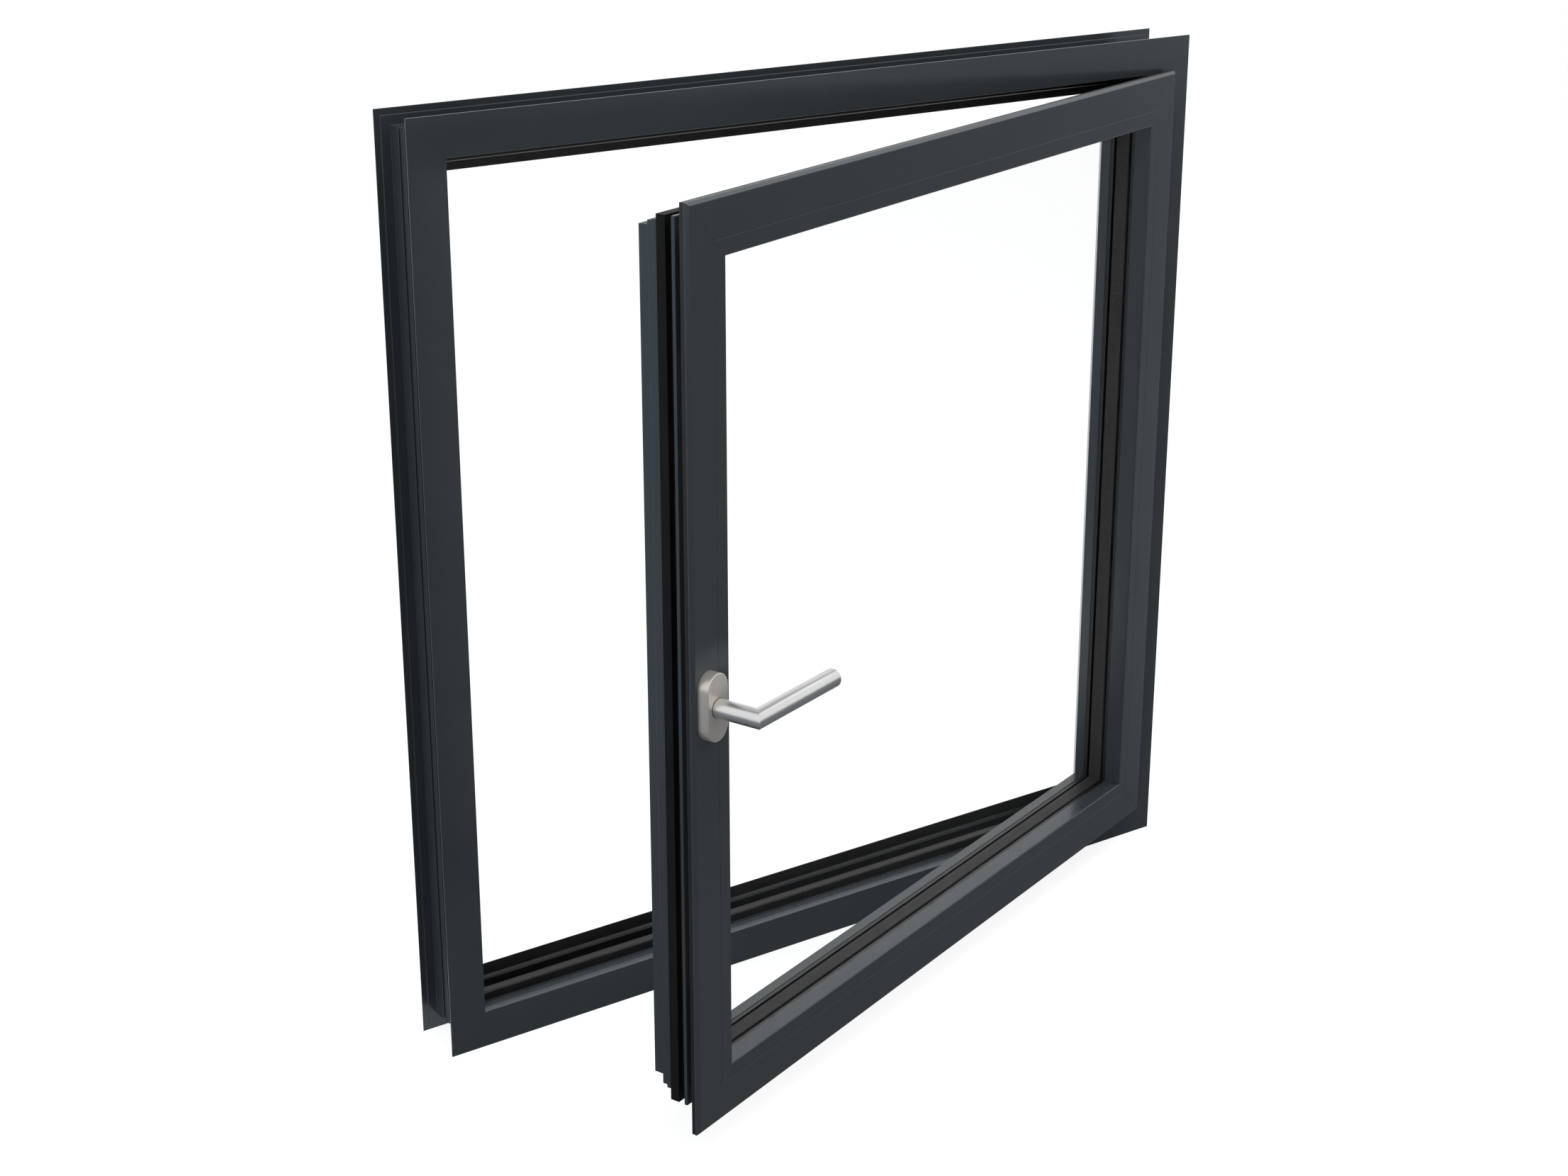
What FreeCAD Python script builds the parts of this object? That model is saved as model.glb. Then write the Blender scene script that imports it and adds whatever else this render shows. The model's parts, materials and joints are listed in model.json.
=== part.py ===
"""Tilt and turn window: thermally broken metal profiles, a glazed sash that turns on a concealed
side hinge or tilts on its bottom edge, a stay arm and a lever handle.

Millimetres. X to the right seen from the room, Y to the outside, Z up. The origin lies on the
seat under the sill, halfway across the inner profile. The sash stands part open, as it is shown.
"""
import FreeCAD
import Part
import math
import os

Vector = FreeCAD.Vector

# Overall frame
FRAME_W = 1000.0
FRAME_H = 1000.0
FLANGE_REACH = 17.0        # flanges stand this far beyond the wall channel between them
FLANGE_T = 2.0
FRAME_FACE_W = 41.3        # width of the frame face seen from the room
INNER_DEPTH = 24.0         # room side profile
BREAK_DEPTH = 14.0         # insulating bar between the two profiles
OUTER_DEPTH = 30.0         # weather side profile
FRAME_LEG_RISE = 16.7      # weather side leg beyond the edge of the face
FRAME_LEG_T = 10.0

# Frame rebate and channel details, rises and drops from the edge of the face
RIDGE_DEPTH = 5.5
REBATE_DROP = 1.0
RIB_START = 15.6
RIB_T = 1.4
BREAK_SET_IN = 3.0
BREAK_DROP = 4.3
BREAK_FOOT_T = 1.0
CHANNEL_GROOVE_START = 8.6
CHANNEL_GROOVE_W = 3.4
CHANNEL_GROOVE_D = 4.0
OUTER_FLANGE_LINE = 6.8
OUTER_FLANGE_STEP = 1.0
VALLEY_DROP = 2.3
SEAL_RIB_RISE = 8.2
SEAL_RIB_START = 13.0
SEAL_RIB_T = 2.5
SEAL_SLOT_RISE = 3.7

# Frame seals
CENTRE_SEAL_RISE = 8.9
CENTRE_SEAL_DEPTH = 12.1
CENTRE_SEAL_SET_BACK = 0.5
CENTRE_SEAL_EDGE = 1.6
STOP_SEAL_RISE = 23.7
STOP_SEAL_T = 2.2
SEAL_PLAY = 0.1

# Sash
LIP_OVERLAP = 4.7          # sash lip over the frame face
LIP_SET_OUT = 7.6          # outer edge of the lip stands this far in front of the frame face
LIP_CHAMFER_W = 3.0
LIP_CHAMFER_D = 3.2
LIP_T = 2.1
LIP_SEAL_T = 3.5
LIP_SEAL_W = 12.0
SASH_FACE_W = 39.3         # sash face as far as the glazing bead
BEAD_W = 16.7
BEAD_DEPTH = 20.2
BEAD_EDGE = 0.8
GROOVE_W = 18.2            # hardware groove round the sash
GROOVE_FLOOR = 31.0
SASH_REAR_LIP = 17.2
SASH_REAR_LIP_T = 4.0
SASH_BREAK_GAP = 6.6
SASH_BREAK_GAP_FLOOR = 24.0
SASH_BREAK_BOX = 10.3
SASH_BREAK_TOP = 38.0
SASH_STEP_1 = 24.2
SASH_STEP_1_T = 10.0
SASH_STEP_2 = 26.0
SASH_STEP_2_T = 6.5
SASH_STEP_3 = 32.0
SASH_OUTER_FLAT = 9.6
SASH_OUTER_DEPTH = 31.1
SASH_LEG_FRONT = 4.8
SASH_LEG_EDGE = 11.9

# Glass
PANE_T = 4.0
CAVITY_T = 16.0
GLASS_EDGE = 44.0
GLASS_PLAY = 2.0           # room round the glass in its rebate
INNER_SEAL_T = 4.0
GLAZING_SEAL_SET_BACK = 0.6
SPACER_SET_BACK = 0.2

# Handle
HANDLE_IN = 22.3           # from the lip edge to the handle axis
HANDLE_DROP = 11.0         # handle axis below the middle of the sash
ROSETTE_W = 31.6
ROSETTE_H = 68.4
ROSETTE_T = 12.0
ROSETTE_EDGE = 1.2
LEVER_D = 19.0
LEVER_REACH = 57.0         # grip axis in front of the sash face
GRIP_L = 124.0
LEVER_EDGE = 0.8
LEVER_PLAY = 0.3           # gap between the lever's neck and the rosette

# Concealed hinge, measured from the edge of the frame face and from its front
AXIS_DROP = 15.7           # hinge axis behind the edge of the face
AXIS_BACK = 5.5
PIN_R = 1.9
PIN_PLAY = 0.08
EYE_R = 3.2
EYE_PLAY = 0.3             # gap between the arm's eye and the collar under it
COLLAR_R = 3.0
ARM_BACK = 14.0            # from the axis to the middle of the swan neck
ARM_W = 6.0
ARM_T = 4.4
BEND_R = 2.0               # inside radius of the bends in the swan neck
CROOK_RISE = 9.7           # middle of the crook beyond the edge of the face
POCKET_RISE = 0.7          # pocket beyond the edge of the sill or head face
POCKET_H = 14.0
POCKET_WALL = 1.5
POCKET_BACK = 0.8
NOTCH_DROP = 8.3           # mouth of the pocket, into the edge of the face
ROOT_IN = 0.5              # root of the swan neck, from the axis towards the sash
TILT_BACK = 8.0            # tilt axis behind the frame face
TILT_RISE = 5.2            # tilt axis above the edge of the sill face
TILT_ROD_R = 2.1
TILT_ROD_L = 50.0
BRACKET_L = 38.0
BRACKET_W = 9.0
BRACKET_RING = 1.4
BRACKET_GAP = 6.0
STAY_L = 299.4
STAY_W = 10.0
STAY_T = 3.5
STAY_RISE = 4.7            # top of the stay below the edge of the head face
SHOE_R = 4.5
SHOE_DEPTH = 14.5
DRIVE_ROD_W = 13.0
DRIVE_ROD_T = 2.0
DRIVE_ROD_L = 640.0

# Pose that is modelled
REST_OPEN_DEG = 20.0

# Working allowances
CUT_OVER = 1.0             # cutters reach this far past what they cut
NEAR = 0.01                # edges this near to a plane lie on it

# Derived places
FACE_Y = -(FLANGE_T + INNER_DEPTH) / 2
BOTTOM_Z = -FLANGE_REACH
TOP_Z = BOTTOM_Z + FRAME_H
CENTRE_Z = BOTTOM_Z + FRAME_H / 2
BREAK_TOP = FRAME_FACE_W - BREAK_DROP
VALLEY_TOP = FRAME_FACE_W - VALLEY_DROP
SEAL_RIB_TOP = FRAME_FACE_W + SEAL_RIB_RISE
SEAL_SLOT_FLOOR = FRAME_FACE_W + SEAL_SLOT_RISE
CENTRE_SEAL_TOP = FRAME_FACE_W + CENTRE_SEAL_RISE
STOP_SEAL_TIP = FRAME_FACE_W + STOP_SEAL_RISE
FRAME_LEG_W = FRAME_FACE_W + FRAME_LEG_RISE
SASH_MARGIN = FRAME_FACE_W - LIP_OVERLAP
SASH_W = FRAME_W - 2 * SASH_MARGIN
SASH_H = FRAME_H - 2 * SASH_MARGIN
LIP_Y = FACE_Y - LIP_SET_OUT
SASH_FACE = -LIP_CHAMFER_D
GROOVE_START = LIP_T + LIP_SEAL_T
SASH_BACK_1 = GROOVE_START + GROOVE_W + SASH_REAR_LIP_T
SASH_BACK_2 = SASH_BACK_1 + SASH_BREAK_GAP + SASH_BREAK_BOX
SIGHT_LINE = SASH_FACE_W + BEAD_W
BEAD_BACK = SASH_FACE + BEAD_DEPTH
PANE_1 = BEAD_BACK + INNER_SEAL_T
SPACER_START = PANE_1 + PANE_T
PANE_2 = SPACER_START + CAVITY_T
GLASS_BACK = PANE_2 + PANE_T
EDGE_X = FRAME_W / 2 - FRAME_FACE_W
AXIS_X = EDGE_X + AXIS_DROP
AXIS_Y = FACE_Y + AXIS_BACK
ARM_Y = AXIS_Y + ARM_BACK
CROOK_X = EDGE_X - CROOK_RISE
TILT_Y = FACE_Y + TILT_BACK
SILL_EDGE_Z = BOTTOM_Z + FRAME_FACE_W
HEAD_EDGE_Z = TOP_Z - FRAME_FACE_W
TILT_Z = SILL_EDGE_Z + TILT_RISE
STAY_Z = HEAD_EDGE_Z - STAY_RISE
POCKET_LOW = (SILL_EDGE_Z + POCKET_RISE, SILL_EDGE_Z + POCKET_RISE + POCKET_H)
POCKET_HIGH = (HEAD_EDGE_Z - POCKET_RISE - POCKET_H, HEAD_EDGE_Z - POCKET_RISE)
HANDLE_X = -SASH_W / 2 + HANDLE_IN
HANDLE_Z = CENTRE_Z - HANDLE_DROP
HANDLE_FACE_Y = LIP_Y + SASH_FACE
SIDES = {"sill": 0.0, "jamb_handle": 90.0, "head": 180.0, "jamb_hinge": -90.0}
LONG = 4 * max(FRAME_W, FRAME_H)


def box(x0, x1, y0, y1, z0, z1):
    """Box between two corners."""
    return Part.makeBox(x1 - x0, y1 - y0, z1 - z0, Vector(x0, y0, z0))


def upright(x, y, z0, z1, radius):
    """Upright cylinder."""
    return Part.makeCylinder(radius, z1 - z0, Vector(x, y, z0))


def fused(first, *others):
    """One solid from touching pieces."""
    return first.multiFuse(list(others)).removeSplitter()


def rounded_face(corners):
    """Flat face through (x, y, radius) corners, each rounded by a tangent arc of its radius."""
    points = [Vector(x, y, 0) for x, y, radius in corners]
    ends = []
    edges = []
    for i, point in enumerate(points):
        radius = corners[i][2]
        before = (points[i - 1] - point).normalize()
        after = (points[(i + 1) % len(points)] - point).normalize()
        half_turn = before.getAngle(after) / 2
        centre = point + (before + after).normalize() * (radius / math.sin(half_turn))
        start = point + before * (radius / math.tan(half_turn))
        end = point + after * (radius / math.tan(half_turn))
        ends.append((start, end))
        if radius:
            middle = centre + (point - centre).normalize() * radius
            edges.append(Part.Arc(start, middle, end).toShape())
    for i, (start, end) in enumerate(ends):
        edges.append(Part.makeLine(ends[i - 1][1], start))
    return Part.Face(Part.Wire(Part.__sortEdges__(edges)))


def member(section, side, width, height, front_y):
    """One mitred bar of a rectangular ring: section points are (inwards, backwards)."""
    across = side in ("sill", "head")
    length, half = (width, height / 2) if across else (height, width / 2)
    reach = max(point[0] for point in section) + CUT_OVER
    outline = [Vector(-length / 2, back, inward - half) for inward, back in section]
    bar = Part.Face(Part.makePolygon(outline + outline[:1])).extrude(Vector(length, 0, 0))
    mitre = [
        Vector(-length / 2, -LONG / 2, -half),
        Vector(length / 2, -LONG / 2, -half),
        Vector(length / 2 - reach, -LONG / 2, reach - half),
        Vector(reach - length / 2, -LONG / 2, reach - half),
    ]
    wedge = Part.Face(Part.makePolygon(mitre + mitre[:1])).extrude(Vector(0, LONG, 0))
    bar = bar.common(wedge)
    bar.rotate(Vector(), Vector(0, 1, 0), SIDES[side])
    bar.translate(Vector(0, front_y, CENTRE_Z))
    return bar.Solids[0]


def ring(section, width, height, front_y):
    """Whole mitred ring as one piece, for seals and insulating bars."""
    bars = [member(section, side, width, height, front_y) for side in SIDES]
    return fused(bars[0], *bars[1:])


def frame_inner_section():
    """Room side frame profile: flange, chamber and stepped rebate."""
    low = FRAME_FACE_W - REBATE_DROP
    rib_end = RIB_START + RIB_T
    return [
        (0, 0),
        (FRAME_FACE_W, 0),
        (FRAME_FACE_W, RIDGE_DEPTH),
        (low, RIDGE_DEPTH + REBATE_DROP),
        (low, RIB_START),
        (FRAME_FACE_W, RIB_START),
        (FRAME_FACE_W, rib_end),
        (low, rib_end),
        (low, INNER_DEPTH),
        (FLANGE_REACH, INNER_DEPTH),
        (FLANGE_REACH, FLANGE_T),
        (0, FLANGE_T),
    ]


def frame_break_section():
    """Insulating bar between the two frame profiles, with a foot that lines the valley and its rib."""
    low = FLANGE_REACH + BREAK_SET_IN
    back = INNER_DEPTH + BREAK_DEPTH
    rib = back + SEAL_RIB_START
    foot_top = VALLEY_TOP + BREAK_FOOT_T
    return [
        (low, INNER_DEPTH),
        (BREAK_TOP, INNER_DEPTH),
        (BREAK_TOP, back - BREAK_FOOT_T),
        (foot_top, back - BREAK_FOOT_T),
        (foot_top, rib - BREAK_FOOT_T),
        (SEAL_RIB_TOP, rib - BREAK_FOOT_T),
        (SEAL_RIB_TOP, rib),
        (VALLEY_TOP, rib),
        (VALLEY_TOP, back),
        (low, back),
    ]


def frame_outer_section():
    """Weather side frame profile: grooved channel wall, valley, seal slot, leg and flange."""
    front = INNER_DEPTH + BREAK_DEPTH
    back = front + OUTER_DEPTH
    leg = back - FRAME_LEG_T
    rib = front + SEAL_RIB_START
    slot = rib + SEAL_RIB_T
    groove = front + CHANNEL_GROOVE_START
    groove_end = groove + CHANNEL_GROOVE_W
    groove_floor = FLANGE_REACH + CHANNEL_GROOVE_D
    flange = back - FLANGE_T
    return [
        (FLANGE_REACH, front),
        (VALLEY_TOP, front),
        (VALLEY_TOP, rib),
        (SEAL_RIB_TOP, rib),
        (SEAL_RIB_TOP, slot),
        (SEAL_SLOT_FLOOR, slot),
        (SEAL_SLOT_FLOOR, leg),
        (FRAME_LEG_W, leg),
        (FRAME_LEG_W, back),
        (0, back),
        (0, flange + OUTER_FLANGE_STEP),
        (OUTER_FLANGE_LINE, flange + OUTER_FLANGE_STEP),
        (OUTER_FLANGE_LINE, flange),
        (FLANGE_REACH, flange),
        (FLANGE_REACH, groove_end),
        (groove_floor, groove_end),
        (groove_floor, groove),
        (FLANGE_REACH, groove),
    ]


def centre_seal_section():
    """Centre seal that stands on the insulating bar."""
    front = INNER_DEPTH + CENTRE_SEAL_SET_BACK
    back = front + CENTRE_SEAL_DEPTH
    edge = CENTRE_SEAL_TOP - CENTRE_SEAL_EDGE
    return [
        (BREAK_TOP, front + CENTRE_SEAL_EDGE / 2),
        (edge, front),
        (CENTRE_SEAL_TOP, front + CENTRE_SEAL_EDGE),
        (CENTRE_SEAL_TOP, back - CENTRE_SEAL_EDGE),
        (edge, back),
        (BREAK_TOP, back - CENTRE_SEAL_EDGE / 2),
    ]


def stop_seal_section():
    """Stop seal: a foot in the slot and a fin that the sash closes against."""
    leg = INNER_DEPTH + BREAK_DEPTH + OUTER_DEPTH - FRAME_LEG_T
    slot = INNER_DEPTH + BREAK_DEPTH + SEAL_RIB_START + SEAL_RIB_T
    fin = leg - STOP_SEAL_T
    return [
        (SEAL_SLOT_FLOOR, slot + SEAL_PLAY),
        (SEAL_RIB_TOP, slot + SEAL_PLAY),
        (SEAL_RIB_TOP + STOP_SEAL_T, fin),
        (STOP_SEAL_TIP, fin + STOP_SEAL_T / 2),
        (STOP_SEAL_TIP, leg - SEAL_PLAY),
        (SEAL_SLOT_FLOOR, leg - SEAL_PLAY),
    ]


def sash_inner_section():
    """Room side sash profile: chamfered lip, hardware groove and rear lip."""
    groove_end = GROOVE_START + GROOVE_W
    return [
        (0, 0),
        (LIP_CHAMFER_W, SASH_FACE),
        (SASH_FACE_W, SASH_FACE),
        (SASH_FACE_W, SASH_BACK_1),
        (SASH_REAR_LIP, SASH_BACK_1),
        (SASH_REAR_LIP, groove_end),
        (GROOVE_FLOOR, groove_end),
        (GROOVE_FLOOR, GROOVE_START),
        (LIP_SEAL_W, GROOVE_START),
        (LIP_SEAL_W, LIP_T),
        (0, LIP_T),
    ]


def lip_seal_section():
    """Overlap seal on the back of the sash lip."""
    return [(0, LIP_T), (LIP_SEAL_W, LIP_T), (LIP_SEAL_W, GROOVE_START), (0, GROOVE_START)]


def sash_break_section():
    """Insulating bar of the sash, with the box that meets the centre seal."""
    step = SASH_BACK_1 + SASH_BREAK_GAP
    return [
        (SASH_BREAK_GAP_FLOOR, SASH_BACK_1),
        (SASH_BREAK_TOP, SASH_BACK_1),
        (SASH_BREAK_TOP, SASH_BACK_2),
        (SASH_REAR_LIP, SASH_BACK_2),
        (SASH_REAR_LIP, step),
        (SASH_BREAK_GAP_FLOOR, step),
    ]


def sash_outer_section():
    """Weather side sash profile: stepped edge, sloped leg that holds the glass."""
    step_1 = SASH_BACK_2 + SASH_STEP_1_T
    step_2 = step_1 + SASH_STEP_2_T
    back = SASH_BACK_2 + SASH_OUTER_DEPTH
    leg = SASH_BACK_2 + SASH_LEG_FRONT
    return [
        (SASH_STEP_1, SASH_BACK_2),
        (GLASS_EDGE - GLASS_PLAY, SASH_BACK_2),
        (GLASS_EDGE - GLASS_PLAY, leg),
        (SIGHT_LINE, leg),
        (SIGHT_LINE, leg + SASH_LEG_EDGE),
        (SASH_STEP_3 + SASH_OUTER_FLAT, back),
        (SASH_STEP_3, back),
        (SASH_STEP_3, step_2),
        (SASH_STEP_2, step_2),
        (SASH_STEP_2, step_1),
        (SASH_STEP_1, step_1),
    ]


def bead_section():
    """Glazing bead clipped into the sash face."""
    return [
        (SASH_FACE_W, SASH_FACE),
        (SIGHT_LINE - BEAD_EDGE, SASH_FACE),
        (SIGHT_LINE, SASH_FACE + BEAD_EDGE),
        (SIGHT_LINE, BEAD_BACK),
        (SASH_FACE_W, BEAD_BACK),
    ]


def glazing_seal_section(front, back):
    """Seal between the glass and the metal beside it."""
    edge = SIGHT_LINE - GLAZING_SEAL_SET_BACK
    return [(GLASS_EDGE, front), (edge, front), (edge, back), (GLASS_EDGE, back)]


def spacer_section():
    """Spacer bar between the panes."""
    edge = SIGHT_LINE - SPACER_SET_BACK
    return [(GLASS_EDGE, SPACER_START), (edge, SPACER_START), (edge, PANE_2), (GLASS_EDGE, PANE_2)]


def pane(front):
    """One sheet of glass."""
    half_w = SASH_W / 2 - GLASS_EDGE
    half_h = SASH_H / 2 - GLASS_EDGE
    y = LIP_Y + front
    return box(-half_w, half_w, y, y + PANE_T, CENTRE_Z - half_h, CENTRE_Z + half_h)


def hinge_pocket(z0, z1):
    """Room that the swan neck needs inside the hinge jamb, with its mouth in the flange edge."""
    outer = FRAME_W / 2 - FLANGE_REACH - POCKET_WALL
    inner = EDGE_X - CUT_OVER
    back = FACE_Y + INNER_DEPTH - POCKET_BACK
    room = box(inner, outer, FACE_Y + FLANGE_T, back, z0, z1)
    mouth = box(inner, EDGE_X + NOTCH_DROP, FACE_Y - CUT_OVER, FACE_Y + FLANGE_T, z0, z1)
    return fused(room, mouth)


def hinge_pin(z0, z1, seat_z):
    """Fixed pin across a pocket, with the collar that the arm's eye runs on."""
    return fused(upright(AXIS_X, AXIS_Y, z0, z1, PIN_R), upright(AXIS_X, AXIS_Y, z0, seat_z, COLLAR_R))


def swan_neck(z0, z1, end_y):
    """Eye and crooked neck that passes behind the frame flange, ending at end_y."""
    half = ARM_W / 2
    outside = BEND_R + ARM_W
    neck = rounded_face([
        (AXIS_X + EYE_R, AXIS_Y, 0),
        (AXIS_X + EYE_R, ARM_Y + half, outside),
        (CROOK_X - half, ARM_Y + half, outside),
        (CROOK_X - half, end_y, 0),
        (CROOK_X + half, end_y, 0),
        (CROOK_X + half, ARM_Y - half, BEND_R),
        (AXIS_X - ROOT_IN, ARM_Y - half, BEND_R),
        (AXIS_X - ROOT_IN, AXIS_Y, 0),
    ])
    neck.translate(Vector(0, 0, z0))
    eye = upright(AXIS_X, AXIS_Y, z0, z1, EYE_R)
    arm = fused(eye, neck.extrude(Vector(0, 0, z1 - z0)))
    return arm.cut(upright(AXIS_X, AXIS_Y, z0 - CUT_OVER, z1 + CUT_OVER, PIN_R + PIN_PLAY))


def hinge_arm():
    """Lower hinge arm: swan neck and the rod that the sash tilts on."""
    low = TILT_Z - ARM_T / 2
    arm = swan_neck(low, low + ARM_T, TILT_Y - ARM_W / 2)
    rod = Part.makeCylinder(TILT_ROD_R, TILT_ROD_L, Vector(CROOK_X, TILT_Y, TILT_Z), Vector(-1, 0, 0))
    return fused(arm, rod)


def tilt_bracket():
    """Sash bracket round the tilt rod, standing in the bottom hardware groove."""
    x1 = CROOK_X - ARM_W / 2 - BRACKET_GAP
    x0 = x1 - BRACKET_L
    floor = BOTTOM_Z + SASH_MARGIN + GROOVE_FLOOR
    bore = TILT_ROD_R + PIN_PLAY
    web = box(x0, x1, TILT_Y - BRACKET_W / 2, TILT_Y + BRACKET_W / 2, TILT_Z, floor)
    start = Vector(x0, TILT_Y, TILT_Z)
    sleeve = Part.makeCylinder(bore + BRACKET_RING, BRACKET_L, start, Vector(1, 0, 0))
    hole_start = start - Vector(CUT_OVER, 0, 0)
    hole = Part.makeCylinder(bore, BRACKET_L + 2 * CUT_OVER, hole_start, Vector(1, 0, 0))
    return fused(web, sleeve).cut(hole)


def stay_arm():
    """Stay: swan neck at the head, long arm over the sash and the shoe in its top groove."""
    high = STAY_Z
    low = high - STAY_T
    shoe_x = AXIS_X - STAY_L
    groove_y = LIP_Y + GROOVE_START + GROOVE_W / 2
    neck = swan_neck(low, high, groove_y - STAY_W / 2)
    bar = box(shoe_x, CROOK_X, groove_y - STAY_W / 2, groove_y + STAY_W / 2, low, high)
    end = upright(shoe_x, groove_y, low, high, STAY_W / 2)
    shoe = upright(shoe_x, groove_y, high - SHOE_DEPTH, high, SHOE_R)
    return fused(neck, bar, end, shoe)


def drive_rod():
    """Flat rod of the locking gear on the floor of the handle side groove."""
    x = -SASH_W / 2 + GROOVE_FLOOR
    y = LIP_Y + GROOVE_START + GROOVE_W / 2
    return box(
        x - DRIVE_ROD_T, x, y - DRIVE_ROD_W / 2, y + DRIVE_ROD_W / 2,
        CENTRE_Z - DRIVE_ROD_L / 2, CENTRE_Z + DRIVE_ROD_L / 2,
    )


def rosette():
    """Oval handle rosette with a softened front edge."""
    radius = ROSETTE_W / 2
    rise = ROSETTE_H / 2 - radius
    y = HANDLE_FACE_Y
    back = Vector(0, -ROSETTE_T, 0)
    top = Part.makeCylinder(radius, ROSETTE_T, Vector(HANDLE_X, y, HANDLE_Z + rise), back)
    bottom = Part.makeCylinder(radius, ROSETTE_T, Vector(HANDLE_X, y, HANDLE_Z - rise), back)
    middle = box(
        HANDLE_X - radius, HANDLE_X + radius, y - ROSETTE_T, y, HANDLE_Z - rise, HANDLE_Z + rise
    )
    plate = fused(middle, top, bottom)
    front = [edge for edge in plate.Edges if edge.BoundBox.YMax < y - ROSETTE_T + NEAR]
    return plate.makeFillet(ROSETTE_EDGE, front)


def lever():
    """Round bar lever: neck off the rosette, mitred corner and grip towards the hinge side."""
    radius = LEVER_D / 2
    grip_y = HANDLE_FACE_Y - LEVER_REACH
    neck_y = HANDLE_FACE_Y - ROSETTE_T - LEVER_PLAY
    long = LEVER_REACH + LEVER_D
    neck = Part.makeCylinder(radius, long, Vector(HANDLE_X, neck_y, HANDLE_Z), Vector(0, -1, 0))
    grip_start = Vector(HANDLE_X - LEVER_D, grip_y, HANDLE_Z)
    grip = Part.makeCylinder(radius, GRIP_L + LEVER_D, grip_start, Vector(1, 0, 0))
    tip = [edge for edge in grip.Edges if edge.BoundBox.XMin > HANDLE_X + GRIP_L - NEAR]
    grip = grip.makeFillet(LEVER_EDGE, tip)
    corner = [
        Vector(HANDLE_X - LONG, grip_y - LONG, HANDLE_Z - LEVER_D),
        Vector(HANDLE_X + LONG, grip_y + LONG, HANDLE_Z - LEVER_D),
        Vector(HANDLE_X + LONG, grip_y - LONG, HANDLE_Z - LEVER_D),
    ]
    grip_side = Part.Face(Part.makePolygon(corner + corner[:1])).extrude(Vector(0, 0, 2 * LEVER_D))
    return fused(neck.cut(grip_side), grip.common(grip_side))


def frame_parts():
    """Everything that is fixed to the wall."""
    parts = {}
    for side in SIDES:
        parts["frame_inner_" + side] = member(frame_inner_section(), side, FRAME_W, FRAME_H, FACE_Y)
        parts["frame_outer_" + side] = member(frame_outer_section(), side, FRAME_W, FRAME_H, FACE_Y)
    for z0, z1 in (POCKET_LOW, POCKET_HIGH):
        parts["frame_inner_jamb_hinge"] = parts["frame_inner_jamb_hinge"].cut(hinge_pocket(z0, z1))
    parts["frame_thermal_break"] = ring(frame_break_section(), FRAME_W, FRAME_H, FACE_Y)
    parts["frame_centre_seal"] = ring(centre_seal_section(), FRAME_W, FRAME_H, FACE_Y)
    parts["frame_stop_seal"] = ring(stop_seal_section(), FRAME_W, FRAME_H, FACE_Y)
    parts["hinge_pin_lower"] = hinge_pin(*POCKET_LOW, TILT_Z - ARM_T / 2 - EYE_PLAY)
    parts["hinge_pin_upper"] = hinge_pin(*POCKET_HIGH, STAY_Z - STAY_T - EYE_PLAY)
    return parts


def sash_parts():
    """The sash with its glass, handle and hinge arms, in the closed position."""
    parts = {}
    size = (SASH_W, SASH_H, LIP_Y)
    for side in SIDES:
        parts["sash_inner_" + side] = member(sash_inner_section(), side, *size)
        parts["sash_outer_" + side] = member(sash_outer_section(), side, *size)
        parts["glazing_bead_" + side] = member(bead_section(), side, *size)
    parts["sash_thermal_break"] = ring(sash_break_section(), *size)
    parts["sash_lip_seal"] = ring(lip_seal_section(), *size)
    parts["glazing_seal_inner"] = ring(glazing_seal_section(BEAD_BACK, PANE_1), *size)
    leg = SASH_BACK_2 + SASH_LEG_FRONT
    parts["glazing_seal_outer"] = ring(glazing_seal_section(GLASS_BACK, leg), *size)
    parts["glass_inner"] = pane(PANE_1)
    parts["glass_outer"] = pane(PANE_2)
    parts["glass_spacer"] = ring(spacer_section(), *size)
    parts["drive_rod"] = drive_rod()
    parts["tilt_bracket"] = tilt_bracket()
    parts["handle_rosette"] = rosette()
    parts["handle_lever"] = lever()
    parts["hinge_arm"] = hinge_arm()
    parts["stay_arm"] = stay_arm()
    for shape in parts.values():
        shape.rotate(Vector(AXIS_X, AXIS_Y, 0), Vector(0, 0, 1), REST_OPEN_DEG)
    return parts


def main():
    """Write one file per piece."""
    os.makedirs("parts", exist_ok=True)
    for name, shape in {**frame_parts(), **sash_parts()}.items():
        shape.exportStep(os.path.join("parts", name + ".step"))


main()
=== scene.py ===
"""Looks of the tilt and turn window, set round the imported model.

Metres, in the model's own frame: X to the right seen from the room, Y to the outside, Z up. Coated
bars, seals, glazing, handle and concealed gear each have a class, and every finish has its own too.
"""

import json
import logging
import math
from dataclasses import dataclass
from enum import Enum
from typing import Any, Callable, Sequence

import bmesh
import bpy
from mathutils import Matrix, Vector

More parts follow.
